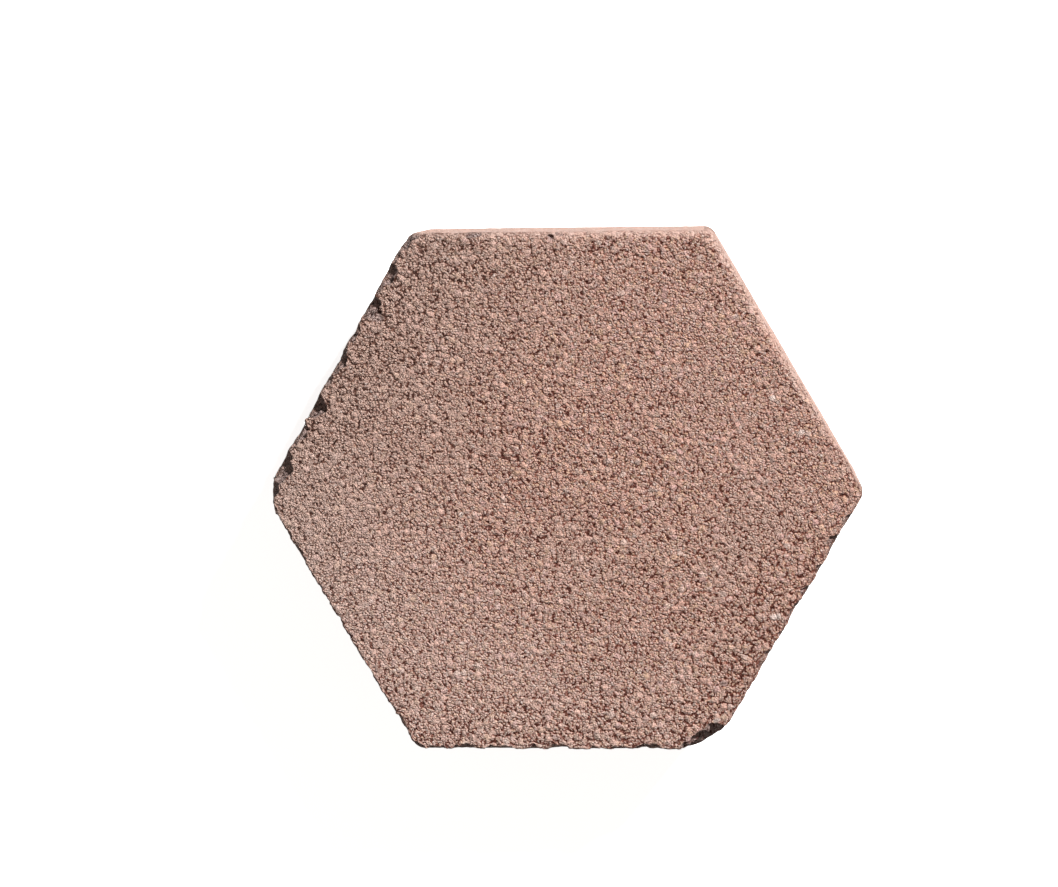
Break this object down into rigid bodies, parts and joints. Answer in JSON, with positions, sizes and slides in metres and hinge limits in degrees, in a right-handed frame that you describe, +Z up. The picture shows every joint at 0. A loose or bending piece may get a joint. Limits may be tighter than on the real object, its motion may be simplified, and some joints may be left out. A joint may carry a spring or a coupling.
{
  "type": "hexagonal concrete paving stone",
  "caption": "Thick hexagonal concrete paving stone with a granular wearing face, worn arrises and chipped corners, laid beside like stones to pave paths, yards and drives.",
  "frame": {"origin": "middle of the bed, on the floor that the stone lies on", "axes": "+Z up, out of the wearing face; +X towards one corner; +Y square to one side"},
  "size_m": [0.2275, 0.2, 0.06],
  "materials": {
    "red_concrete": "matt, open-grained dry-cast concrete, pigmented red-brown, worn and chipped"
  },
  "bodies": {
    "root": {"paving_stone": "red_concrete"}
  },
  "joints": []
}
